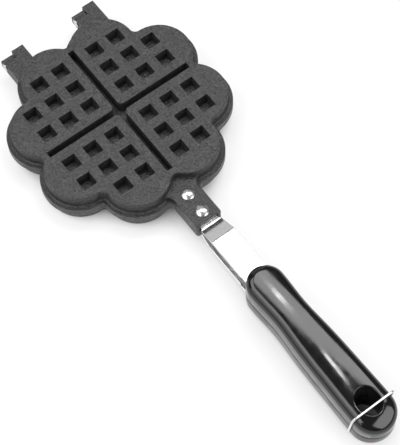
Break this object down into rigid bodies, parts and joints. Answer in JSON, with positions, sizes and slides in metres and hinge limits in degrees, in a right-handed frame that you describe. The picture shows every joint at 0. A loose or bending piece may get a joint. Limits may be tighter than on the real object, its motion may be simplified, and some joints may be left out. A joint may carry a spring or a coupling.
{
  "type": "stovetop waffle iron",
  "caption": "Stovetop waffle iron: hinged cast plates with a heart and grid pattern, riveted straps, long moulded grips and a swinging wire latch.",
  "frame": {"origin": "centre of the lower plate's outer face", "axes": "+X towards the grips, +Z from the lower plate to the upper plate, +Y across"},
  "size_m": [0.381, 0.1526, 0.0356],
  "materials": {
    "casting": "cast, with a dark fine-grained non-stick coating",
    "pin": "satin",
    "strap": "bright plated strip",
    "rivet": "bright domed heads",
    "grip": "glossy black phenolic moulding",
    "fastener": "zinc plated",
    "insert": "plain turned",
    "wire": "bright drawn wire"
  },
  "bodies": {
    "lower": {"lower_plate": "casting", "hinge_pin_left": "pin", "hinge_pin_right": "pin", "lower_strap": "strap", "lower_rivet_front": "rivet", "lower_rivet_rear": "rivet", "lower_grip": "grip", "lower_grip_screw": "fastener", "lower_grip_washer": "fastener", "lower_grip_insert": "insert"},
    "upper": {"upper_plate": "casting", "upper_strap": "strap", "upper_rivet_front": "rivet", "upper_rivet_rear": "rivet", "upper_grip": "grip", "upper_grip_screw": "fastener", "upper_grip_washer": "fastener", "upper_grip_insert": "insert"},
    "latch": {"latch_bail": "wire"}
  },
  "joints": [
    {"name": "plate_hinge", "type": "hinge", "parent": "lower", "child": "upper", "pos_m": [-0.0847, 0, 0.0136], "axis": [0, -1, 0], "range_deg": [0, 90]},
    {"name": "latch_swing", "type": "hinge", "parent": "lower", "child": "latch", "pos_m": [0.272, 0, 0.0053], "axis": [0, 1, 0], "range_deg": [0, 150]}
  ]
}
